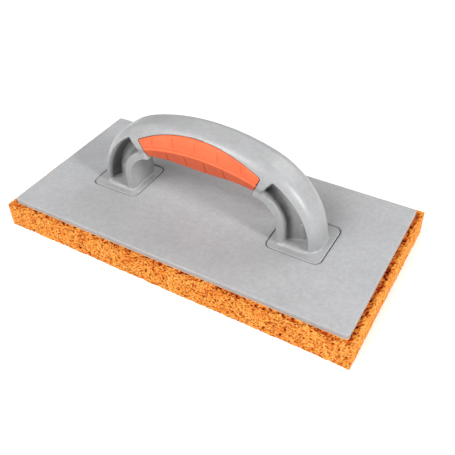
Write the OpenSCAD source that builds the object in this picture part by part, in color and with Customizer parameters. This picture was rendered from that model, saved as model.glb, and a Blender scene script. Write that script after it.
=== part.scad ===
// Sponge float: a rigid plate with a bow handle above it and a sponge pad glued under it.
// Millimetres. X runs along the float, +Y to its back, +Z up. The origin is the centre of the
// sponge's working face, so the float stands on z = 0.

/* [Sponge] */
// Length of the sponge pad
sponge_l = 280; // [250:5:320]
// Width of the sponge pad
sponge_w = 140; // [110:5:160]
// Thickness of the sponge pad
sponge_t = 20; // [10:1:40]
// Radius of the sponge's upright corners
sponge_corner_r = 2; // [1:0.5:6]

/* [Plate] */
// How far the sponge stands out past the plate on each side
sponge_lip = 5; // [1:1:10]
// Thickness of the plate
plate_t = 4; // [3.6:0.2:6]
// Radius of the plate's upright corners
plate_corner_r = 2; // [1:0.5:6]

/* [Bow handle] */
// Length of the bow over its two legs
handle_l = 181; // [176:1:186]
// Height of the bow above the plate
handle_h = 67; // [66:1:70]
// Width of the bow
handle_w = 29; // [26:1:32]
// Radius of the bow's shoulders, seen from the front
shoulder_r = 62.5; // [61:0.5:64]
// Radius that rounds the bow's outer edges
edge_r = 10; // [6:1:12]
// Length of each leg where it meets its foot
leg_l = 30; // [28:1:32]
// Height of the opening for the hand
opening_h = 34.5; // [32:0.5:36]
// Radius of the opening's upper corners
opening_r = 22; // [18:1:24]

/* [Leg pockets] */
// Thickness of the leg's wall on the outside of the bow
outer_wall = 6.5; // [4:0.5:8]
// Thickness of the leg's wall beside the hand
inner_wall = 6.5; // [3:0.5:8]
// Thickness of the web between the front and back pockets
web_t = 4; // [4:0.5:6]
// How far the inner wall's edges are set back from the bow's sides
wall_setback = 0.5; // [0.5:0.5:2]

/* [Feet] */
// Length and width of each square foot
foot_w = 40.5; // [38:0.5:44]
// Thickness of a foot
foot_t = 2; // [1.6:0.1:2.2]
// Radius of a foot's corners
foot_r = 5; // [3:0.5:8]
// Gap between a foot and its seat in the plate
seat_gap = 0.6; // [0.3:0.1:1]

/* [Grip insert] */
// Length of the soft insert along its top edge
grip_l = 98; // [90:1:102]
// Depth of the insert's top edge below the top of the bow
grip_drop = 3.5; // [3:0.5:6]
// Radius of the insert's top edge, seen from the front
grip_r = 95; // [90:1:110]
// Height of the crease between the insert's side and its underside
crease_h = 49.5; // [46:0.5:52]
// Radius of the crease, seen from the front
crease_r = 153; // [140:1:170]
// Wall thickness of the insert
grip_wall = 5.5; // [4.5:0.5:6.5]

/* [Hidden] */
$fn = 96;

// How far a cutting shape runs on past the faces that it cuts
past = 1;

// Levels, from the ground up
glue_t = 0.3;
plate_z = sponge_t + glue_t;
top_z = plate_z + plate_t;
plate_l = sponge_l - 2 * sponge_lip;
plate_w = sponge_w - 2 * sponge_lip;

// Bow: two shoulder arcs centred on the plate's top face, joined by one crown arc that meets both
// smoothly. Its radius follows from the length and height.
half_l = handle_l / 2;
half_w = handle_w / 2;
shoulder_x = half_l - shoulder_r;
crown_r = (pow(shoulder_x, 2) + pow(handle_h, 2) - pow(shoulder_r, 2)) / (2 * (handle_h - shoulder_r));
crown_z = handle_h - crown_r;
crown_a = asin(shoulder_x / (crown_r - shoulder_r));
bow_depth = 45;
crown_steps = 10;
crown_spare = 2;
shoulder_steps = 18;
edge_steps = 5;

// Legs
leg_in = half_l - leg_l;
leg_x = half_l - leg_l / 2;
leg_corner_r = 3;
floor_h = 1;
pocket_reach = 60;

// The slanting bridge between each pocket and the insert: where its lower edge starts, how far below
// the top of the opening, and its slope
bridge_x = 46;
bridge_drop = 0.3;
bridge_a = 53;

// Seats and screws
seat_depth = 2.2;
foot_z = top_z - seat_depth;
screw_r = 1.65;
head_r = 3.5;
neck_r = 1.9;
head_t = 1.4;
screw_l = 16;
drive_w = 1;
drive_l = 4;
drive_depth = 0.9;
boss_r = 4.2;
boss_h = 14;
pilot_end = 0.5;

// Grip insert
taper_a = 19.5;
taper_depth = 24;
taper_span = 26;
end_slope = 2.3;
core_w = handle_w - 2 * grip_wall;
core_z = opening_h + grip_wall;

// A plate with round upright corners, standing on z = 0
module slab(l, w, t, r) {
  linear_extrude(t) {
    square([l - 2 * r, w], center = true);
    square([l, w - 2 * r], center = true);
    for (x = [-1, 1], y = [-1, 1]) {
      translate([x * (l / 2 - r), y * (w / 2 - r)]) circle(r = r);
    }
  }
}

// Children drawn in the X-Z plane, made into a solid from y = y0 to y = y1
module from_front(y0, y1) {
  translate([0, y1, 0]) rotate([90, 0, 0]) linear_extrude(y1 - y0) children();
}

// Children drawn as a section, radius against Y, swept about a Y axis at [x, z] from angle a0 to a1,
// counted from +X towards +Z
module sweep_y(x, z, a0, a1) {
  translate([x, 0, z]) rotate([90, 0, 0]) rotate([0, 0, a0]) rotate_extrude(angle = a1 - a0) children();
}

// Both ends of the bow
module each_end() {
  children();
  mirror([1, 0, 0]) children();
}

// Stations along the top of the bow, from the right foot over to the left: the centre and radius of
// the arc, and the angle on it
stations = concat(
  [for (i = [0 : shoulder_steps]) [shoulder_x, 0, shoulder_r, i * (90 - crown_a) / shoulder_steps]],
  [for (i = [1 : crown_steps - 1]) [0, crown_z, crown_r, 90 - crown_a + i * 2 * crown_a / crown_steps]],
  [for (i = [shoulder_steps : -1 : 0])
    [-shoulder_x, 0, shoulder_r, 180 - i * (90 - crown_a) / shoulder_steps]]
);

// Half of the bow's section, as depth below its top against Y, ending with the rounded edge
half_section = concat(
  [[bow_depth, half_w]],
  [for (i = [0 : edge_steps]) let (a = 90 * i / edge_steps)
    [edge_r * (1 - sin(a)), half_w - edge_r * (1 - cos(a))]]
);
section_n = 2 * len(half_section);
section = concat(half_section, [for (i = [1 : section_n / 2])
  [half_section[section_n / 2 - i][0], -half_section[section_n / 2 - i][1]]]);

// The bow as a solid arch, before the opening and the pockets are cut
module bow_arch() {
  points = [for (s = stations, p = section)
    [s[0] + (s[2] - p[0]) * cos(s[3]), p[1], s[1] + (s[2] - p[0]) * sin(s[3])]];
  last = (len(stations) - 1) * section_n;
  sides = [for (i = [0 : len(stations) - 2], j = [0 : section_n - 1])
    let (a = i * section_n + j, b = i * section_n + (j + 1) % section_n)
      each [[a, b, b + section_n], [a, b + section_n, a + section_n]]];
  ends = [[for (j = [section_n - 1 : -1 : 0]) j], [for (j = [0 : section_n - 1]) last + j]];
  polyhedron(points = points, faces = concat(sides, ends), convexity = 4);
}

// The top stretch of the bow that the insert lies in, with the edges rounded in the same way
module bow_crown() {
  half_a = crown_a + crown_spare;
  sweep_y(0, crown_z, 90 - half_a, 90 + half_a) {
    translate([crown_r - bow_depth, -half_w]) square([bow_depth - edge_r, handle_w]);
    translate([crown_r - bow_depth, edge_r - half_w]) square([bow_depth, handle_w - 2 * edge_r]);
    for (s = [-1, 1]) {
      translate([crown_r - edge_r, s * (half_w - edge_r)]) circle(r = edge_r);
    }
  }
}

// Outline of the opening for the hand; grow adds a wall's thickness all round
module opening_outline(grow = 0) {
  half = leg_in + grow;
  r = opening_r + grow;
  h = opening_h + grow;
  translate([-half, -past]) square([2 * half, h - r + past]);
  translate([r - half, -past]) square([2 * (half - r), h + past]);
  for (x = [-1, 1]) {
    translate([x * (half - r), h - r]) circle(r = r);
  }
}

// Footprint of one leg: wide rounding outside, small rounding beside the hand
module leg_outline() {
  translate([leg_in + leg_corner_r, -half_w]) square([leg_l - leg_corner_r - edge_r, handle_w]);
  translate([leg_in, leg_corner_r - half_w]) square([leg_l - edge_r, handle_w - 2 * leg_corner_r]);
  translate([leg_in, edge_r - half_w]) square([leg_l, handle_w - 2 * edge_r]);
  for (s = [-1, 1]) {
    translate([leg_in + leg_corner_r, s * (half_w - leg_corner_r)]) circle(r = leg_corner_r);
    translate([half_l - edge_r, s * (half_w - edge_r)]) circle(r = edge_r);
  }
}

// Everything inside the outer wall and past the slanting bridge, down to the leg's floor
module leg_window() {
  bridge_h = opening_h - bridge_drop;
  intersection() {
    translate([shoulder_x, 0]) circle(r = shoulder_r - outer_wall);
    polygon([
      [bridge_x, bridge_h],
      [bridge_x + pocket_reach / tan(bridge_a), bridge_h + pocket_reach],
      [half_l, bridge_h + pocket_reach],
      [half_l, floor_h],
      [leg_in - past, floor_h]
    ]);
  }
}

// One pocket: deep beside the web, shallow over the inner wall's edge
module leg_pocket() {
  from_front(web_t / 2, half_w + past) difference() {
    leg_window();
    opening_outline(inner_wall);
  }
  from_front(half_w - wall_setback, half_w + past) leg_window();
}

// The insert seen from the front: an arched top edge, slanting ends and a flat underside
module grip_outline() {
  end_z = handle_h - grip_drop - grip_r + sqrt(pow(grip_r, 2) - pow(grip_l / 2, 2));
  low_x = grip_l / 2 - (end_z - opening_h) / end_slope;
  high_x = grip_l / 2 + (handle_h - end_z) / end_slope;
  intersection() {
    translate([0, handle_h - grip_drop - grip_r]) circle(r = grip_r);
    polygon([[-low_x, opening_h], [low_x, opening_h], [high_x, handle_h], [-high_x, handle_h]]);
  }
}

// The slanting undercut along both lower sides of the insert
module grip_taper() {
  low_y = half_w - taper_depth * tan(taper_a);
  for (s = [-1, 1]) {
    sweep_y(0, crease_h - crease_r, 90 - taper_span, 90 + taper_span) polygon([
      [crease_r, s * half_w],
      [crease_r, s * (half_w + past)],
      [crease_r - taper_depth, s * (half_w + past)],
      [crease_r - taper_depth, s * low_y]
    ]);
  }
}

// Outer form of the insert, flush with the bow
module grip_form() {
  difference() {
    intersection() {
      bow_crown();
      from_front(-half_w - past, half_w + past) grip_outline();
    }
    grip_taper();
  }
}

// The rib of hard plastic that the insert is moulded round
module grip_core() {
  from_front(-core_w / 2, core_w / 2) intersection() {
    translate([-grip_l, core_z]) square([2 * grip_l, handle_h]);
    grip_outline();
  }
}

module sponge_pad() {
  color([1, 0.55, 0.2]) slab(sponge_l, sponge_w, sponge_t, sponge_corner_r);
}

module adhesive_layer() {
  color([0.9, 0.85, 0.7]) translate([0, 0, sponge_t]) slab(plate_l, plate_w, glue_t, plate_corner_r);
}

module base_plate() {
  seat_w = foot_w + 2 * seat_gap;
  color([0.72, 0.73, 0.74]) difference() {
    translate([0, 0, plate_z]) slab(plate_l, plate_w, plate_t, plate_corner_r);
    each_end() translate([leg_x, 0, 0]) {
      translate([0, 0, foot_z]) slab(seat_w, seat_w, plate_t, foot_r + seat_gap);
      translate([0, 0, plate_z - past]) cylinder(h = plate_t + past, r = neck_r);
      translate([0, 0, plate_z]) cylinder(h = head_t, r1 = head_r, r2 = neck_r);
    }
  }
}

module handle_body() {
  color([0.66, 0.67, 0.69]) difference() {
    union() {
      translate([0, 0, top_z]) difference() {
        bow_arch();
        from_front(-half_w - past, half_w + past) opening_outline();
        difference() {
          from_front(-half_w - past, half_w + past) grip_outline();
          grip_core();
        }
        each_end() {
          leg_pocket();
          mirror([0, 1, 0]) leg_pocket();
        }
      }
      each_end() {
        translate([leg_x, 0, foot_z]) slab(foot_w, foot_w, foot_t, foot_r);
        translate([0, 0, foot_z]) linear_extrude(seat_depth + floor_h) leg_outline();
        translate([leg_x, 0, foot_z]) cylinder(h = seat_depth + boss_h, r = boss_r);
      }
    }
    each_end() translate([leg_x, 0, plate_z]) cylinder(h = screw_l + pilot_end, r = screw_r);
  }
}

module grip_insert() {
  color([0.93, 0.36, 0.22]) translate([0, 0, top_z]) difference() {
    grip_form();
    grip_core();
  }
}

// One countersunk screw with a cross drive, standing on its head
module screw() {
  difference() {
    union() {
      cylinder(h = head_t, r1 = head_r, r2 = neck_r);
      cylinder(h = screw_l, r = screw_r);
    }
    for (a = [0, 90]) {
      rotate(a) translate([-drive_l / 2, -drive_w / 2, -past]) cube([drive_l, drive_w, drive_depth + past]);
    }
  }
}

module handle_screws() {
  color([0.75, 0.75, 0.78]) each_end() translate([leg_x, 0, plate_z]) screw();
}

sponge_pad();
adhesive_layer();
base_plate();
handle_body();
grip_insert();
handle_screws();
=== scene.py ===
"""Sponge float, seen on a pale floor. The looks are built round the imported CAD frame: an open-pore
sponge, a moulded plate, a bow handle with hollow legs, and its soft insert. Each form is worked out
as a distance to its surface, in millimetres, and then meshed."""
import itertools
import math

import bmesh
import bpy
import numpy as np
from mathutils import Matrix, Vector


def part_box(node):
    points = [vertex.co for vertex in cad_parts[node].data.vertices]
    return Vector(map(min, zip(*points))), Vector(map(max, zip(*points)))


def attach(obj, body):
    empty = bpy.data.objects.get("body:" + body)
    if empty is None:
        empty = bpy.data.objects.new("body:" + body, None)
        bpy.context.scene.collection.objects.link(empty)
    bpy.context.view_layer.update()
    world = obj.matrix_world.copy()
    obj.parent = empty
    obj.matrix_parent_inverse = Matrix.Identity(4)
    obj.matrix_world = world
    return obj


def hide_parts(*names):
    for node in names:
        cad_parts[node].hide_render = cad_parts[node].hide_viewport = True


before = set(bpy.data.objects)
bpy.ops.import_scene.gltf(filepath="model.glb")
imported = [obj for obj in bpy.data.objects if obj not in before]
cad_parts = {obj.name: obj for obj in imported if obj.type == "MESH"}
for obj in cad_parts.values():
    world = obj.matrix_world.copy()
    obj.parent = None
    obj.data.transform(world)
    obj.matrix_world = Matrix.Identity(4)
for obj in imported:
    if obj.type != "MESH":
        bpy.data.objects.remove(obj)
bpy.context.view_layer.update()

MM = 0.001


def box_mm(node):
    """Lowest and highest corner of a CAD node, in millimetres."""
    return [np.array(corner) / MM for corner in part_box(node)]


# Levels and sides that the frame gives
PAD_LOW, PAD_HIGH = box_mm("sponge_pad")
PLATE_LOW, PLATE_HIGH = box_mm("base_plate")
BOW_LOW, BOW_HIGH = box_mm("handle_body")
TOP_Z = PLATE_HIGH[2]

# Bow: its height and length over the legs, and the arcs of its back
BOW_H = BOW_HIGH[2] - TOP_Z
FOOT_HALF = 20.25
LEG_X = BOW_HIGH[0] - FOOT_HALF
LEG_L = 30
HALF_L = LEG_X + LEG_L / 2
HALF_W = 14.5
SHOULDER_R = 62.5
SHOULDER_X = HALF_L - SHOULDER_R
CROWN_R = (SHOULDER_X**2 + BOW_H**2 - SHOULDER_R**2) / (2 * (BOW_H - SHOULDER_R))
CROWN_Z = BOW_H - CROWN_R
EDGE_R = 10

# Opening for the hand; its edge is rounder near the feet
OPENING_HALF = LEG_X - LEG_L / 2
OPENING_H = 34.5
OPENING_R = 22
OPENING_EDGE = 0.8
OPENING_EDGE_GAIN = 2.5
OPENING_EDGE_H = 10

# Leg pockets: walls and their slopes, the web, the floor, and the bridge below the insert's ends
OUTER_WALL = 5.2
OUTER_DRAFT = 0.32
INNER_WALL = 6.5
WEB_HALF = 2
WEB_R = 53
WEB_RISE = 0.44
SETBACK = 0.5
SETBACK_SLOPE = 0.3
FLOOR_H = 1
BRIDGE = (46, 34.2)
BRIDGE_A = math.radians(53)

# Roundings in a pocket: its mouth, its mouth's floor, its corners and the step over the inner wall
MOUTH_R = 0.5
MOUTH_FLOOR_R = 0.8
POCKET_R = 2
OUTER_POCKET_R = 0.8
FLOOR_R = 1
STEP_R = 1.6
POCKET_EDGE = 0.7

# Painted shade in the pockets: how dark it is painted on the outer wall, the inner wall and the inner
# wall's rim
OUTER_PAINTED_SHADE = 0.8
INNER_PAINTED_SHADE = 0.64
RIM_PAINTED_SHADE = 0.4

# Feet, their seats in the plate, and the screws with their bosses and bores
FOOT_R = 5
FOOT_DEPTH = TOP_Z - BOW_LOW[2]
FOOT_TOP = -0.2
FOOT_EDGE = 0.5
FOOT_FILLET = 1.5
SEAT_GAP = 0.6
SEAT_EDGE = 0.9
BOSS_R = 4.2
BOSS_H = 14
BOSS_EDGE = 0.6
BOSS_FILLET = 0.8
BORE_R = 1.9
BORE_ROOF = 2
HEAD_R = 3.6
HEAD_DEPTH = 1.4

# Plate: its corners, its rounded edge, the width of the border there, and the chamfer below
PLATE_R = 2.5
PLATE_EDGE = 0.6
PLATE_BORDER = 2.2
PLATE_CHAMFER = 0.3

# Soft insert: its outline from the front, the crease along it, its core, and its wavy underside
GRIP_HALF = 49
GRIP_DROP = 3.5
GRIP_R = 95
GRIP_ARC_Z = BOW_H - GRIP_DROP - GRIP_R
GRIP_END_Z = GRIP_ARC_Z + math.sqrt(GRIP_R**2 - GRIP_HALF**2)
GRIP_CORNER_R = 1.5
END_SLOPE = 2.3
CREASE_R = 153
CREASE_Z = 49.5 - CREASE_R
TAPER_A = math.radians(19.5)
CORE_HALF = 9
CORE_Z = 40
WAVE_H = 0.9
WAVE_L = 58

# How far the insert stays inside its outline, the bow, the taper and the core, and hangs below
OUTLINE_GAP = 0.4
BOW_GAP = 0.2
TAPER_GAP = 0.1
CORE_GAP = 0.1
UNDER_HANG = 0.3

# Roundings: the channel's edge, and the insert's crease, outline and underside
GRIP_EDGE = 0.6
CREASE_EDGE = 0.5
OUTLINE_EDGE = 0.7
UNDER_EDGE = 2.5

# Marks on the insert: groove and bead along the crease, then two rows, each with a pitch and a middle
GROOVE_DEPTH = 0.45
BEAD_H = 0.3
MARK_DEPTH = 0.6
MARK_HALF = 0.6
UPPER_ROW = (17.7, -1)
LOWER_ROW = (15.4, 5.1)
LOWER_ROW_HALF = 34

# Fineness of the meshes: the size of a cell, and the most triangles that are kept
HANDLE_CELL = 0.62
HANDLE_TRIANGLES = 190000
INSERT_CELL = 0.42
INSERT_TRIANGLES = 160000


# ---------------------------------------------------------------- forms as distances


def both(a, b, r):
    """Where two forms overlap, with the edge between them rounded to radius r."""
    return np.minimum(np.maximum(a, b), -r) + np.hypot(np.maximum(a + r, 0), np.maximum(b + r, 0))


def either(a, b, r):
    """Two forms joined, with a hollow fillet of radius r between them."""
    return -both(-a, -b, r)


def round_box(x, y, half_x, half_y, r):
    """A rectangle with corners of radius r, seen along its axis."""
    dx = abs(x) - (half_x - r)
    dy = abs(y) - (half_y - r)
    return np.hypot(np.maximum(dx, 0), np.maximum(dy, 0)) + np.minimum(np.maximum(dx, dy), 0) - r


def smooth_step(value, low, high):
    share = np.clip((value - low) / (high - low), 0, 1)
    return share * share * (3 - 2 * share)


# ---------------------------------------------------------------- meshing


def axis(low, high, step):
    return low + step * np.arange(int(math.ceil((high - low) / step)) + 1)


def sample(form, low, high, step):
    """The form's distance at every point of a grid."""
    x, y, z = (axis(a, b, step) for a, b in zip(low, high))
    return form(x[:, None, None], y[None, :, None], z[None, None, :])


def surface_net(field, low, step):
    """Points and quads of the surface where a sampled field is zero, one point in each cell that it
    crosses."""
    cells = np.array(field.shape) - 1
    rings, points = [], []
    for a in range(3):
        b, c = (a + 1) % 3, (a + 2) % 3
        here, there = [slice(None)] * 3, [slice(None)] * 3
        here[a], there[a] = slice(0, -1), slice(1, None)
        v0, v1 = field[tuple(here)], field[tuple(there)]
        spots = np.argwhere((v0 < 0) != (v1 < 0))
        v0, v1 = v0[tuple(spots.T)], v1[tuple(spots.T)]
        point = spots.astype(float)
        point[:, a] += v0 / (v0 - v1)
        ring = np.empty((len(spots), 4), np.int64)
        for i, (db, dc) in enumerate(((0, 0), (-1, 0), (-1, -1), (0, -1))):
            cell = spots.copy()
            cell[:, b] += db
            cell[:, c] += dc
            ring[:, i] = np.ravel_multi_index(cell.T, cells)
        points.append(np.repeat(point, 4, axis=0))
        rings.append(np.where((v0 < 0)[:, None], ring, ring[:, ::-1]))
    ids, index = np.unique(np.concatenate(rings), return_inverse=True)
    index = index.reshape(-1)
    count = np.bincount(index, minlength=len(ids))
    # a ring may run backwards, but its four cells share one crossing, so the order doesn't matter
    merged = [np.bincount(index, weights=w, minlength=len(ids)) / count for w in np.concatenate(points).T]
    return np.array(low) + np.stack(merged, 1) * step, index.reshape(-1, 4)


def gradient(form, p):
    """Direction in which the distance grows at each point."""
    reach = 0.02
    slopes = []
    for shift in reach * np.eye(3):
        slopes.append((form(*(p + shift).T) - form(*(p - shift).T)) / (2 * reach))
    return np.stack(slopes, 1)


def snap(form, p, reach):
    """Moves each point onto the form's true surface, by at most reach."""
    start = p
    for _ in range(3):
        g = gradient(form, p)
        p = p - g * (form(*p.T) / np.maximum((g * g).sum(1), 0.05))[:, None]
    move = p - start
    length = np.linalg.norm(move, axis=1, keepdims=True)
    return start + move * np.minimum(1, reach / np.maximum(length, 1e-9))


def add_object(name, data):
    """An object in the scene with the given mesh, light or camera."""
    made = bpy.data.objects.new(name, data)
    bpy.context.scene.collection.objects.link(made)
    return made


def object_from(bm, name):
    """An object in the scene from a finished BMesh."""
    mesh = bpy.data.meshes.new(name)
    bm.to_mesh(mesh)
    bm.free()
    return add_object(name, mesh)


def new_piece(name, points, faces):
    """A mesh object from points in millimetres and equal-sized faces."""
    mesh = bpy.data.meshes.new(name)
    points = np.asarray(points, np.float32) * MM
    faces = np.asarray(faces, np.int32)
    sides = faces.shape[1]
    mesh.vertices.add(len(points))
    mesh.vertices.foreach_set("co", points.ravel())
    mesh.loops.add(faces.size)
    mesh.loops.foreach_set("vertex_index", faces.ravel())
    mesh.polygons.add(len(faces))
    mesh.polygons.foreach_set("loop_start", np.arange(0, faces.size, sides, dtype=np.int32))
    mesh.update(calc_edges=True)
    mesh.validate()
    return add_object(name, mesh)


def over_plate(piece):
    """The piece's points in the handle's own frame: millimetres, with z from the plate's top."""
    co = np.empty(len(piece.data.vertices) * 3, np.float32)
    piece.data.vertices.foreach_get("co", co)
    return co.reshape(-1, 3).astype(float) / MM - [0, 0, TOP_Z]


def tag(piece, name, values):
    """Give each point of a piece a number that its material can read."""
    layer = piece.data.attributes.new(name, "FLOAT", "POINT")
    layer.data.foreach_set("value", values.astype(np.float32))


def thin_out(piece, triangles):
    """Fewer faces where the surface is flat."""
    made = sum(len(p.vertices) - 2 for p in piece.data.polygons)
    if made > triangles:
        modifier = piece.modifiers.new("thin", "DECIMATE")
        modifier.ratio = triangles / made
        graph = bpy.context.evaluated_depsgraph_get()
        mesh = bpy.data.meshes.new_from_object(piece.evaluated_get(graph))
        piece.modifiers.clear()
        piece.data = mesh
    piece.data.shade_smooth()


def mesh_form(name, form, low, high, step, triangles):
    """A piece with the surface of a form that is in the handle's own frame."""
    points, quads = surface_net(sample(form, low, high, step), low, step)
    points = snap(form, points, step)
    piece = new_piece(name, points + [0, 0, TOP_Z], quads)
    thin_out(piece, triangles)
    normals = gradient(form, over_plate(piece))
    normals /= np.maximum(np.linalg.norm(normals, axis=1, keepdims=True), 1e-9)
    piece.data.normals_split_custom_set_from_vertices(normals.tolist())
    return piece


# ---------------------------------------------------------------- handle


def bow_back(x, z):
    """Distance outside the arched back of the bow, seen from the front."""
    ax, up = abs(x), np.maximum(z, 0)
    crown = np.hypot(x, up - CROWN_Z) - CROWN_R
    shoulder = np.hypot(ax - SHOULDER_X, up) - SHOULDER_R
    over_crown = ax * -CROWN_Z < SHOULDER_X * (up - CROWN_Z)
    return np.where(over_crown, crown, shoulder)


def opening(x, z):
    """Distance outside the opening for the hand."""
    dx, dz = abs(x) - (OPENING_HALF - OPENING_R), z - (OPENING_H - OPENING_R)
    return np.hypot(np.maximum(dx, 0), np.maximum(dz, 0)) + np.minimum(np.maximum(dx, dz), 0) - OPENING_R


def grip_outline(x, z):
    """Distance outside the insert, seen from the front: an arched top and slanting ends."""
    arch = np.hypot(x, z - GRIP_ARC_Z) - GRIP_R
    end = ((abs(x) - GRIP_HALF) * END_SLOPE - (z - GRIP_END_Z)) / math.hypot(1, END_SLOPE)
    return both(arch, end, GRIP_CORNER_R)


def core(y, z):
    """Distance outside the rib that the insert is moulded round."""
    return np.maximum(abs(y) - CORE_HALF, CORE_Z - z)


def leg_sides(x, z):
    """Distances outside the pocket's two long sides: the outer wall, and the bridge over it."""
    outer = np.hypot(abs(x) - SHOULDER_X, z) - (SHOULDER_R - OUTER_WALL)
    bridge = (z - BRIDGE[1]) * math.cos(BRIDGE_A) - (abs(x) - BRIDGE[0]) * math.sin(BRIDGE_A)
    return outer, bridge


def pocket(x, y, z):
    """Distance outside a pocket: deep beside the web, shallow over the inner wall's edge. The outer
    wall thickens with depth, and the web rises away from it."""
    outer, bridge = leg_sides(x, z)
    mouth = both(both(outer, bridge, MOUTH_R), FLOOR_H - z, MOUTH_FLOOR_R)
    drafted = outer + OUTER_DRAFT * np.clip(HALF_W - abs(y), 0, HALF_W)
    inward = np.maximum(WEB_R - np.hypot(abs(x) - SHOULDER_X, z), 0)
    web = (WEB_HALF + WEB_RISE * inward - abs(y)) / math.hypot(1, WEB_RISE)
    deep = both(both(INNER_WALL - opening(x, z), bridge, POCKET_R), web, POCKET_R)
    deep = both(both(deep, drafted, OUTER_POCKET_R), FLOOR_H - z, FLOOR_R)
    shallow = np.maximum(mouth, HALF_W - np.clip(-SETBACK_SLOPE * mouth, 0, SETBACK) - abs(y))
    return either(deep, shallow, STEP_R)


def handle_form(x, y, z):
    """The bow, less its opening, pockets and the insert's channel, with bosses, feet and bores."""
    from_axis = np.hypot(abs(x) - LEG_X, y)
    edge = OPENING_EDGE + OPENING_EDGE_GAIN * smooth_step(-z, -OPENING_EDGE_H, 0)
    form = both(both(bow_back(x, z), abs(y) - HALF_W, EDGE_R), -opening(x, z), edge)
    form = both(form, -pocket(x, y, z), POCKET_EDGE)
    boss = both(from_axis - BOSS_R, z - BOSS_H, BOSS_EDGE)
    form = either(form, boss, BOSS_FILLET)
    channel = np.maximum(grip_outline(x, z), -core(y, z))
    form = both(form, -channel, GRIP_EDGE)
    foot = both(round_box(abs(x) - LEG_X, y, FOOT_HALF, FOOT_HALF, FOOT_R), z - FOOT_TOP, FOOT_EDGE)
    form = either(np.maximum(form, FOOT_TOP - 1 - z), foot, FOOT_FILLET)
    form = np.maximum(form, -FOOT_DEPTH - z)
    bore = np.maximum(from_axis - BORE_R, z - BOSS_H + BORE_ROOF)
    return np.maximum(form, -bore)


def hump(value, middle, half):
    """A smooth hump, 1 high, at a value."""
    return np.exp(-(((value - middle) / half) ** 2))


def above_crease(x, z):
    """Height over the insert's arched crease."""
    return np.hypot(x, z - CREASE_Z) - CREASE_R


def marks(x, pitch, middle):
    """A row of upright grooves, as a depth from 0 to 1."""
    away = x - middle - pitch * np.round((x - middle) / pitch)
    return hump(away, 0, MARK_HALF)


def insert_form(x, y, z):
    """The insert: inside its outline and the bow, tapering below its crease, and wavy underneath."""
    outline = grip_outline(x, z)
    skin = both(bow_back(x, z), abs(y) - HALF_W, EDGE_R) + BOW_GAP
    above = above_crease(x, z)
    taper = (abs(y) - HALF_W - TAPER_GAP - above * math.tan(TAPER_A)) * math.cos(TAPER_A)
    wave = WAVE_H * (1 - np.cos(2 * math.pi * x / WAVE_L))
    under = OPENING_H - UNDER_HANG + wave - z
    form = both(both(skin, taper, CREASE_EDGE), outline + OUTLINE_GAP, OUTLINE_EDGE)
    form = both(form, under, UNDER_EDGE)
    # a groove over a low bead along the crease, and two staggered rows of upright marks
    groove = GROOVE_DEPTH * hump(above, 1.1, 0.55)
    bead = BEAD_H * hump(above, -0.5, 0.7)
    upper = marks(x, *UPPER_ROW) * smooth_step(above, 2, 4) * smooth_step(-outline, 1.6, 3.2)
    lower = marks(x, *LOWER_ROW) * smooth_step(-above, 1, 2) * (abs(x) < LOWER_ROW_HALF)
    side = smooth_step(abs(y), CORE_HALF - 1, CORE_HALF + 1)
    form = form + (groove - bead + MARK_DEPTH * np.maximum(upper, lower)) * side
    return np.maximum(form, CORE_GAP - core(y, z))


def painted_pocket_shade(x, y, z):
    """How much painted shade each point gets, from 0 to 1: deep in the pockets, on their walls, and a
    little on the inner wall's rounded rim, where the recesses fall into shade."""
    outer, _ = leg_sides(x, z)
    inner = opening(x, z) - INNER_WALL
    depth = HALF_W - abs(y)
    on_outer = 1 - smooth_step(-outer - OUTER_DRAFT * depth, 0.3, 1.2)
    on_inner = 1 - smooth_step(inner, 0.6, 4.5)
    inside = smooth_step(opening(x, z), 3, 4) * smooth_step(-outer, -0.5, 0.5)
    rim = RIM_PAINTED_SHADE * smooth_step(inner, -1.8, 0.3)
    from_inner = on_inner * np.maximum(INNER_PAINTED_SHADE * smooth_step(depth, 0.8, 5.5), rim)
    painted_shade = np.maximum(OUTER_PAINTED_SHADE * on_outer * smooth_step(depth, 3, 6.5), from_inner)
    return painted_shade * inside * smooth_step(z, FLOOR_H, FLOOR_H + 2)


def make_handle():
    low = [-BOW_HIGH[0] - 2, -FOOT_HALF - 2, -FOOT_DEPTH - 2]
    high = [BOW_HIGH[0] + 2, FOOT_HALF + 2, BOW_H + 2]
    piece = mesh_form("handle", handle_form, low, high, HANDLE_CELL, HANDLE_TRIANGLES)
    # painted shade: marks where the plastic's colour is darkened in the pockets' shaded recesses
    tag(piece, "painted_shade", painted_pocket_shade(*over_plate(piece).T))
    return piece


def make_insert():
    low = [-GRIP_HALF - 3, -HALF_W - 2, OPENING_H - 4]
    high = [GRIP_HALF + 3, HALF_W + 2, BOW_H]
    piece = mesh_form("insert", insert_form, low, high, INSERT_CELL, INSERT_TRIANGLES)
    x, _, z = over_plate(piece).T
    # the band below the crease, which the rubber's colour darkens as painted shade
    tag(piece, "band", 1 - smooth_step(above_crease(x, z), -1.2, 0.2))
    return piece


# ---------------------------------------------------------------- sponge

# Each side of the pad: the axis that it faces along, which end, and its corner in the texture map
PAD_SIDES = (
    (2, 0, (0, 0)),
    (2, 1, (0, 145)),
    (1, 0, (0, 290)),
    (1, 1, (0, 315)),
    (0, 0, (0, 340)),
    (0, 1, (145, 340)),
)
MAP_SIZE = 365

# Skin: the size of a cell, how near an edge its direction turns, and how far it goes under the plate
SKIN_STEP = 0.5
TURN = 2.5
UNDERLAP = 2

# Soft hollows: the height and breadth of each wave, their mean depth, and the limits of depth
HOLLOWS = ((0.18, 6), (0.16, 1.4))
HOLLOW_MEAN = 0.2
HOLLOW_LIMITS = (0.02, 0.8)

# Tears beside the plate: where they fade out, how much they have everywhere and more at the pad's
# ends, and how broad they are
TEAR_FADE = (1.2, 3.6)
TEAR_LEAST = 0.1
TEAR_AT_ENDS = 0.35
TEAR_CELL = 1.8

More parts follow.
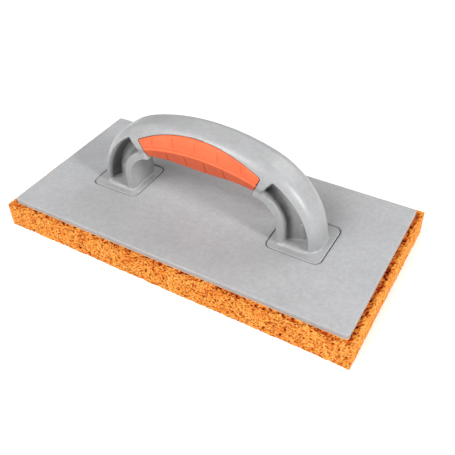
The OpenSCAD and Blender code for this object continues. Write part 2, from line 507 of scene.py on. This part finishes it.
# Sizes of pore: how far apart they are, their least and greatest radius, and how much deeper than
# round they go
PORES = (
    (2.4, (0.5, 0.95), 1.8),
    (8, (0.9, 1.5), 1.2),
    (1.5, (0.35, 0.65), 1.9),
)
MAX_DEPTH = 4


def pad_skin(counts):
    """A grid over the pad's six sides: places of the points, quads, and places in the texture map.
    The top has a hole where the plate covers it."""
    size = PAD_HIGH - PAD_LOW
    spots, places = [], []
    for a, end, corner in PAD_SIDES:
        b, c = (k for k in range(3) if k != a)
        i, k = (v.ravel() for v in np.meshgrid(np.arange(counts[b]), np.arange(counts[c]), indexing="ij"))
        quad = np.zeros((len(i), 4, 3), np.int64)
        quad[:, :, a] = end * counts[a]
        quad[:, :, b] = i[:, None] + [0, 1, 1, 0]
        quad[:, :, c] = k[:, None] + [0, 0, 1, 1]
        place = quad[:, :, [b, c]] / counts[[b, c]] * size[[b, c]] + corner
        if (end == 0) != (a == 1):
            quad, place = quad[:, ::-1], place[:, ::-1]
        spots.append(quad)
        places.append(place)
    spots, places = np.concatenate(spots), np.concatenate(places)
    middle = abs(spots.mean(1) / counts * size - size / 2)
    on_top = spots[:, :, 2].min(1) == counts[2]
    covered = (middle[:, :2] < PLATE_HIGH[:2] - UNDERLAP).all(1)
    bare = ~(on_top & covered)
    spots, places = spots[bare], places[bare]
    ids, quads = np.unique(np.ravel_multi_index(spots.reshape(-1, 3).T, counts + 1), return_inverse=True)
    points = np.stack(np.unravel_index(ids, counts + 1), 1) / counts * size + PAD_LOW
    return points, quads.reshape(-1, 4), places / MAP_SIZE


def inward(points, turn):
    """Direction into the pad at each point of its skin, turning within a distance of each edge."""
    middle = (PAD_LOW + PAD_HIGH) / 2
    away = points - middle
    past = np.maximum(abs(away) - (PAD_HIGH - middle - turn), 0)
    out = np.sign(away) * past
    return -out / np.linalg.norm(out, axis=1, keepdims=True)


def cells_round(points, cell):
    """The grid cell of each point, counted from a corner outside the pad, and the grid's size."""
    low = PAD_LOW - 2 * cell
    counts = np.ceil((PAD_HIGH - low) / cell).astype(int) + 3
    return (points - low) / cell, low, counts


def soft_noise(rng, points, cell):
    """A smooth random value at each point, changing over about one cell."""
    place, _, counts = cells_round(points, cell)
    first = np.floor(place).astype(int)
    share = smooth_step(place - first, 0, 1)
    values = rng.standard_normal(counts)
    total = np.zeros(len(points))
    for corner in itertools.product((0, 1), repeat=3):
        weight = np.where(corner, share, 1 - share).prod(1)
        total += weight * values[tuple((first + corner).T)]
    return total


def pore_depth(rng, points, into, cell, radii):
    """How far each point has to go to get out of the pores that it lies in. Each cell holds a round
    pore at a random place in it."""
    place, low, counts = cells_round(points, cell)
    place = np.floor(place).astype(int)
    centres = rng.uniform(0, 1, (*counts, 3))
    sizes = radii[0] + (radii[1] - radii[0]) * rng.uniform(0, 1, counts) ** 1.5
    depth = np.zeros(len(points))
    for offset in itertools.product((-1, 0, 1), repeat=3):
        spot = tuple((place + offset).T)
        gap = points - (place + offset + centres[spot]) * cell - low
        gap_sq = (gap * gap).sum(1)
        along = -(gap * into).sum(1)
        radius_sq = sizes[spot] ** 2
        out = along + np.sqrt(np.maximum(radius_sq - gap_sq + along * along, 0))
        depth = np.maximum(depth, np.where(gap_sq < radius_sq, out, 0))
    return depth


def cover_top(piece):
    """Closes the hole under the plate with one face."""
    bm = bmesh.new()
    bm.from_mesh(piece.data)
    rim = [edge for edge in bm.edges if edge.is_boundary]
    made = bmesh.ops.holes_fill(bm, edges=rim, sides=0)["faces"]
    texture = bm.loops.layers.uv.active
    corner = PAD_SIDES[1][2]
    for face in made:
        for loop in face.loops:
            x, y = loop.vert.co.xy / MM
            place = x - PAD_LOW[0] + corner[0], y - PAD_LOW[1] + corner[1]
            loop[texture].uv = (place[0] / MAP_SIZE, place[1] / MAP_SIZE)
    bmesh.ops.triangulate(bm, faces=made)
    bm.to_mesh(piece.data)
    bm.free()


def make_sponge():
    """The pad: its skin, pushed in by soft hollows, by tears beside the plate and by pores."""
    rng = np.random.default_rng(11)
    counts = np.round((PAD_HIGH - PAD_LOW) / SKIN_STEP).astype(int)
    points, quads, places = pad_skin(counts)
    into = inward(points, TURN)
    depth = sum(height * soft_noise(rng, points, cell) for height, cell in HOLLOWS)
    depth = np.clip(depth + HOLLOW_MEAN, *HOLLOW_LIMITS)
    # beside the plate the foam is torn open further, most of all at the ends; the tears' depth is also
    # painted darker in the foam's colour, as painted shade standing in for the plate's shadow
    past = (abs(points) - PLATE_HIGH)[:, :2]
    past_plate = past.max(1)
    on_top = points[:, 2] > PAD_HIGH[2] - 0.1
    torn = on_top * (1 - smooth_step(past_plate, *TEAR_FADE))
    least = TEAR_LEAST + TEAR_AT_ENDS * smooth_step(past[:, 0], -1, 0)
    depth = depth + torn * (least + np.maximum(soft_noise(rng, points, TEAR_CELL), 0))
    for cell, radii, reach in PORES:
        here = points + into * depth[:, None]
        depth = depth + reach * pore_depth(rng, here, into, cell, radii)
    under_plate = on_top & (past_plate < -1)
    depth[under_plate] = 0
    depth = np.minimum(depth, MAX_DEPTH)
    piece = new_piece("sponge", points + into * depth[:, None], quads)
    texture = piece.data.uv_layers.new(name="OFBake")
    texture.data.foreach_set("uv", places.astype(np.float32).ravel())
    # the depth also drives painted shade: the foam's colour turns darker and redder the deeper a point
    # lies
    tag(piece, "depth", depth)
    cover_top(piece)
    piece.data.shade_smooth()
    return piece


# ---------------------------------------------------------------- plate

CORNER_STEPS = 8
EDGE_STEPS = 5


def ring(half_x, half_y, r, level, centre_x=0):
    """Points round a rectangle with round corners, corner by corner from its back right one."""
    points = []
    for i, (sx, sy) in enumerate(((1, 1), (-1, 1), (-1, -1), (1, -1))):
        for k in range(CORNER_STEPS + 1):
            angle = math.radians(90 * (i + k / CORNER_STEPS))
            points.append((
                centre_x + sx * (half_x - r) + r * math.cos(angle),
                sy * (half_y - r) + r * math.sin(angle),
                level,
            ))
    return points


def circle_ring(r, level, centre_x):
    """A circle with as many points as a rectangle's ring, at matching places. A hair of straight side
    keeps the points of two corners apart."""
    return ring(r, r, r * 0.999, level, centre_x)


def add_ring(bm, points):
    """The points as vertices of a BMesh."""
    return [bm.verts.new([value * MM for value in p]) for p in points]


def join_rings(bm, rings):
    """Bands of faces from each ring to the next."""
    for first, second in zip(rings, rings[1:]):
        for i in range(len(first)):
            k = (i + 1) % len(first)
            bm.faces.new((first[i], first[k], second[k], second[i]))


def fill_between(bm, rings):
    """A flat face inside the first ring and outside the others."""
    edges = []
    for r in rings:
        edges += [bm.edges.get((r[i], r[(i + 1) % len(r)])) for i in range(len(r))]
    bmesh.ops.triangle_fill(bm, edges=edges, use_beauty=True, use_dissolve=False)


def rounding(r):
    """Insets and drops along a quarter round, from the top face over to the side."""
    turns = [math.radians(90 * i / EDGE_STEPS) for i in range(EDGE_STEPS + 1)]
    return [(r * (1 - math.sin(t)), r * (1 - math.cos(t))) for t in turns]


def plate_edge(bm):
    """The plate's side, from the border of its top face down and under to the border below."""
    half_x, half_y, _ = PLATE_HIGH
    top, bottom = PLATE_HIGH[2], PLATE_LOW[2]
    low_r = PLATE_R - PLATE_CHAMFER
    steps = [(PLATE_BORDER, PLATE_R, top)]
    steps += [(inset, PLATE_R - inset, top - drop) for inset, drop in rounding(PLATE_EDGE)]
    steps += [(0, PLATE_R, bottom + PLATE_CHAMFER)]
    steps += [(PLATE_CHAMFER, low_r, bottom), (PLATE_CHAMFER + 1, low_r, bottom)]
    return [add_ring(bm, ring(half_x - inset, half_y - inset, r, level)) for inset, r, level in steps]


def plate_seat(bm, x):
    """A foot's seat, from the top face down to its floor, and the screw's hole down to the bottom."""
    top, bottom = PLATE_HIGH[2], PLATE_LOW[2]
    floor = top - FOOT_DEPTH
    steps = [(2 * SEAT_EDGE, top)]
    steps += [(reach, top - drop) for reach, drop in rounding(SEAT_EDGE)]
    steps += [(0, floor), (-1, floor)]
    half, r = FOOT_HALF + SEAT_GAP, FOOT_R + SEAT_GAP
    rings = [add_ring(bm, ring(half + reach, half + reach, r + reach, level, x)) for reach, level in steps]
    hole = (BORE_R, floor), (BORE_R, bottom + HEAD_DEPTH), (HEAD_R, bottom)
    return rings + [add_ring(bm, circle_ring(radius, level, x)) for radius, level in hole]


def make_plate():
    bm = bmesh.new()
    bands = [plate_edge(bm), plate_seat(bm, -LEG_X), plate_seat(bm, LEG_X)]
    for rings in bands:
        join_rings(bm, rings)
    fill_between(bm, [rings[0] for rings in bands])
    fill_between(bm, [rings[-1] for rings in bands])
    bmesh.ops.recalc_face_normals(bm, faces=bm.faces)
    piece = object_from(bm, "plate")
    piece.data.shade_smooth()
    piece.data.set_sharp_from_angle(angle=math.radians(40))
    return piece


# ---------------------------------------------------------------- materials


class Nodes:
    """A material's node tree, with a Principled shader on its output."""

    def __init__(self, name, **constants):
        self.material = bpy.data.materials.new(name)
        self.material.use_nodes = True
        self.tree = self.material.node_tree
        self.shader = next(n for n in self.tree.nodes if n.type == "BSDF_PRINCIPLED")
        for socket, value in constants.items():
            self.shader.inputs[socket.replace("_", " ")].default_value = value

    def add(self, kind, **inputs):
        """A node; each input is a value, or a socket to link from."""
        made = self.tree.nodes.new("ShaderNode" + kind)
        for name, value in inputs.items():
            self.feed(made.inputs[name.replace("_", " ")], value)
        return made

    def feed(self, socket, value):
        if isinstance(value, bpy.types.NodeSocket):
            self.tree.links.new(value, socket)
        else:
            socket.default_value = value

    def noise(self, scale, detail=3, roughness=0.55):
        place = self.add("TexCoord").outputs["Object"]
        made = self.add("TexNoise", Vector=place, Scale=scale, Detail=detail, Roughness=roughness)
        return made.outputs["Fac"]

    def cells(self, scale):
        """Distance to the nearest of many points scattered through space, in cells."""
        place = self.add("TexCoord").outputs["Object"]
        return self.add("TexVoronoi", Vector=place, Scale=scale).outputs["Distance"]

    def tagged(self, name):
        """The number that tag() gave to each point."""
        made = self.add("Attribute")
        made.attribute_name = name
        return made.outputs["Fac"]

    def ramp(self, value, stops):
        """Colours, or greys, between places along a value."""
        made = self.add("ValToRGB", Fac=value)
        line = made.color_ramp.elements
        while len(line) < len(stops):
            line.new(0.5)
        for element, (place, colour) in zip(line, stops):
            element.position = place
            element.color = (*colour, 1) if hasattr(colour, "__len__") else (colour, colour, colour, 1)
        return made.outputs["Color"]

    def mix(self, share, first, second, blend="MIX"):
        made = self.tree.nodes.new("ShaderNodeMix")
        made.data_type = "RGBA"
        made.blend_type = blend
        self.feed(made.inputs[0], share)
        self.feed(made.inputs[6], first)
        self.feed(made.inputs[7], second)
        return made.outputs[2]

    def bump(self, height, distance, under=None):
        """A relief of a height in metres, over another relief if there is one."""
        made = self.add("Bump", Height=height, Distance=distance, Strength=1.0)
        if under is not None:
            self.feed(made.inputs["Normal"], under)
        return made.outputs["Normal"]

    def finish(self, **inputs):
        for name, value in inputs.items():
            self.feed(self.shader.inputs[name.replace("_", " ")], value)
        return self.material


def moulded_plastic(name, tone, tint, gloss, grain):
    """Grey moulded plastic: a faint cloudiness, a fine grain, a gloss that varies a little, and a
    near-black painted shade where the piece is tagged with painted shade."""
    n = Nodes(name, Specular_IOR_Level=0.45)
    cloud = n.noise(38, 4, 0.6)
    speck = n.noise(1500, 2, 0.5)
    shades = [tuple(tone * t * k for t in tint) for k in (0.95, 1.0, 1.045)]
    colour = n.ramp(cloud, [(0.3, shades[0]), (0.5, shades[1]), (0.72, shades[2])])
    mottle = n.noise(320, 3, 0.6)
    colour = n.mix(0.8, colour, n.ramp(speck, [(0.3, 0.88), (0.7, 1.03)]), "MULTIPLY")
    colour = n.mix(0.9, colour, n.ramp(mottle, [(0.3, 0.9), (0.7, 1.04)]), "MULTIPLY")
    # painted shade: a near-black colour, mixed in where the pockets' painted shade mask is set
    shade_paint_colour = n.ramp(n.noise(240, 3, 0.6), [(0.35, 0.025), (0.65, 0.1)])
    colour = n.mix(n.tagged("painted_shade"), colour, shade_paint_colour)
    rough = n.ramp(n.noise(120, 3, 0.6), [(0.3, gloss - 0.05), (0.7, gloss + 0.06)])
    peel = n.bump(n.noise(420, 2, 0.5), 0.00006 * grain)
    fine = n.bump(speck, 0.00002 * grain, under=peel)
    return n.finish(Base_Color=colour, Roughness=rough, Normal=fine)


def soft_rubber():
    """Orange-red soft-touch rubber: matt, with a faint sheen and a fine grain. Its lower band, which faces
    down, is painted darker and redder as painted shade."""
    n = Nodes("soft_rubber", Specular_IOR_Level=0.25, Sheen_Weight=0.04, Sheen_Roughness=0.4)
    cloud = n.noise(70, 3, 0.6)
    speck = n.noise(2200, 2, 0.6)
    colour = n.ramp(cloud, [(0.3, (0.64, 0.108, 0.038)), (0.7, (0.72, 0.134, 0.048))])
    colour = n.mix(0.3, colour, n.ramp(speck, [(0.3, 0.85), (0.7, 1.0)]), "MULTIPLY")
    # painted shade on the downward-facing band below the crease
    painted_low_shade = n.ramp(n.tagged("band"), [(0.0, (1.0, 1.0, 1.0)), (1.0, (0.76, 0.68, 0.6))])
    colour = n.mix(1.0, colour, painted_low_shade, "MULTIPLY")
    rough = n.ramp(n.noise(200, 3, 0.6), [(0.3, 0.5), (0.7, 0.62)])
    return n.finish(Base_Color=colour, Roughness=rough, Normal=n.bump(speck, 0.00003))


def sponge_foam():
    """Orange foam, painted redder and darker deep in its pores and tears as painted shade, with small
    painted dark dots for the shade in pores too small to model.
    """
    n = Nodes("sponge_foam", Specular_IOR_Level=0.06)
    # painted shade: darker and redder with the depth in the pores and tears
    share = n.add("MapRange", Value=n.tagged("depth"), From_Max=3.5)
    colour = n.ramp(share.outputs["Result"], [
        (0.05, (0.81, 0.345, 0.074)),
        (0.18, (0.68, 0.205, 0.03)),
        (0.36, (0.44, 0.055, 0.006)),
        (0.8, (0.28, 0.014, 0.003)),
    ])
    # painted shade: dark dots standing for the shade inside pores too small to model
    pore_shade_dots = n.ramp(n.cells(520), [(0.2, (0.28, 0.08, 0.02)), (0.34, (1.0, 1.0, 1.0))])
    colour = n.mix(0.85, colour, pore_shade_dots, "MULTIPLY")
    speck_shade_dots = n.ramp(n.cells(1100), [(0.15, (0.55, 0.42, 0.32)), (0.4, (1.0, 1.0, 1.0))])
    colour = n.mix(0.7, colour, speck_shade_dots, "MULTIPLY")
    crumb = n.ramp(n.noise(620, 2, 0.5), [(0.35, (0.76, 0.66, 0.4)), (0.62, (1.0, 1.0, 1.15))])
    colour = n.mix(1.0, colour, crumb, "MULTIPLY")
    patch = n.ramp(n.noise(110, 4, 0.6), [(0.3, (0.9, 0.86, 0.8)), (0.7, (1.0, 1.0, 1.0))])
    colour = n.mix(1.0, colour, patch, "MULTIPLY")
    fine = n.noise(1400, 3, 0.65)
    rough = n.ramp(fine, [(0.3, 0.8), (0.7, 0.95)])
    return n.finish(Base_Color=colour, Roughness=rough, Normal=n.bump(fine, 0.0003))


def glue_film():
    """A thin yellowish film of set glue, with uneven wetting."""
    n = Nodes("glue_film", Specular_IOR_Level=0.5)
    colour = n.ramp(n.noise(90, 4, 0.6), [(0.3, (0.55, 0.38, 0.2)), (0.7, (0.75, 0.6, 0.4))])
    rough = n.ramp(n.noise(300, 3, 0.5), [(0.3, 0.25), (0.7, 0.5)])
    return n.finish(Base_Color=colour, Roughness=rough, Normal=n.bump(n.noise(250, 3), 0.0001))


def zinc_steel():
    """Zinc-plated steel with fine drawing marks."""
    n = Nodes("zinc_steel", Metallic=1.0)
    colour = n.ramp(n.noise(400, 3), [(0.3, (0.55, 0.56, 0.6)), (0.7, (0.72, 0.72, 0.74))])
    rough = n.ramp(n.noise(900, 3), [(0.3, 0.28), (0.7, 0.42)])
    return n.finish(Base_Color=colour, Roughness=rough, Normal=n.bump(n.noise(1800, 2), 0.00001))


def pale_floor():
    """Matt near-white, with a very faint cloudiness."""
    n = Nodes("pale_floor", Roughness=0.9, Specular_IOR_Level=0.0)
    colour = n.ramp(n.noise(2, 2), [(0.3, 0.93), (0.7, 0.95)])
    return n.finish(Base_Color=colour)


def put_on(piece, material):
    piece.data.materials.clear()
    piece.data.materials.append(material)


def dress(piece, material, node):
    """A finished piece: its material, the body it rides on, and the CAD node that it stands for."""
    put_on(piece, material)
    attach(piece, "root")
    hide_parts(node)


# ---------------------------------------------------------------- studio

LIGHT_DISTANCE = 2.0
LIGHT_AIM = Vector((0, 0, 0.03))


def make_floor():
    bm = bmesh.new()
    bmesh.ops.create_grid(bm, x_segments=1, y_segments=1, size=3)
    floor = object_from(bm, "floor")
    put_on(floor, pale_floor())


def heading(azimuth, elevation):
    """Unit vector from the object towards a place, azimuth 0 being straight in front."""
    a, e = math.radians(azimuth), math.radians(elevation)
    return Vector((math.sin(a) * math.cos(e), -math.cos(a) * math.cos(e), math.sin(e)))


def make_light(name, azimuth, elevation, width, height, power):
    """A softbox aimed at the middle of the float."""
    data = bpy.data.lights.new(name, "AREA")
    data.shape = "RECTANGLE"
    data.size, data.size_y = width, height
    data.energy = power
    light = add_object(name, data)
    back = heading(azimuth, elevation)
    light.location = LIGHT_AIM + back * LIGHT_DISTANCE
    light.rotation_mode = "QUATERNION"
    light.rotation_quaternion = (-back).to_track_quat("-Z", "Y")


def make_lights():
    make_light("key", -42, 42, 1.2, 1.0, 19)
    make_light("front", -15, 45, 1.0, 1.0, 30)
    make_light("right", 79, 25, 0.4, 0.8, 38)
    make_light("left", -90, 30, 1.0, 1.0, 3)
    make_light("back_right", 150, 40, 1.2, 1.0, 16)
    make_light("back_left", -150, 40, 1.2, 1.0, 4)


def make_world():
    world = bpy.data.worlds.new("studio")
    world.use_nodes = True
    background = next(n for n in world.node_tree.nodes if n.type == "BACKGROUND")
    background.inputs["Color"].default_value = (1, 1, 1, 1)
    background.inputs["Strength"].default_value = 0.18
    bpy.context.scene.world = world
    bpy.context.scene.view_settings.view_transform = "Standard"


def make_camera():
    """A camera at the right front, rolled a little, that looks at a point beside the plate's middle."""
    azimuth, elevation, roll = 32.12, 41.94, math.radians(-2.47)
    distance, aside, below = 446.66, 12.41, 17.59
    back = heading(azimuth, elevation)
    level = Vector((math.cos(math.radians(azimuth)), math.sin(math.radians(azimuth)), 0))
    rise = back.cross(level)
    right = level * math.cos(roll) + rise * math.sin(roll)
    up = rise * math.cos(roll) - level * math.sin(roll)
    aim = Vector((0, 0, TOP_Z)) + right * aside - up * below
    data = bpy.data.cameras.new("camera")
    data.sensor_width = 36
    data.lens = 47.66
    data.clip_start, data.clip_end = 0.05, 20
    camera = add_object("camera", data)
    turn = Matrix((right, up, back)).transposed().to_4x4()
    camera.matrix_world = Matrix.Translation((aim + back * distance) * MM) @ turn
    bpy.context.scene.camera = camera


make_camera()
make_world()
make_lights()
make_floor()

sponge = make_sponge()
dress(sponge, sponge_foam(), "sponge_pad")
dress(make_plate(), moulded_plastic("plate_plastic", 0.33, (0.995, 1.0, 1.02), 0.5, 1.0),
      "base_plate")
dress(make_handle(), moulded_plastic("handle_plastic", 0.30, (1.0, 1.005, 1.02), 0.37, 0.8),
      "handle_body")
dress(make_insert(), soft_rubber(), "grip_insert")
put_on(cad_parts["adhesive_layer"], glue_film())
put_on(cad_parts["handle_screws"], zinc_steel())
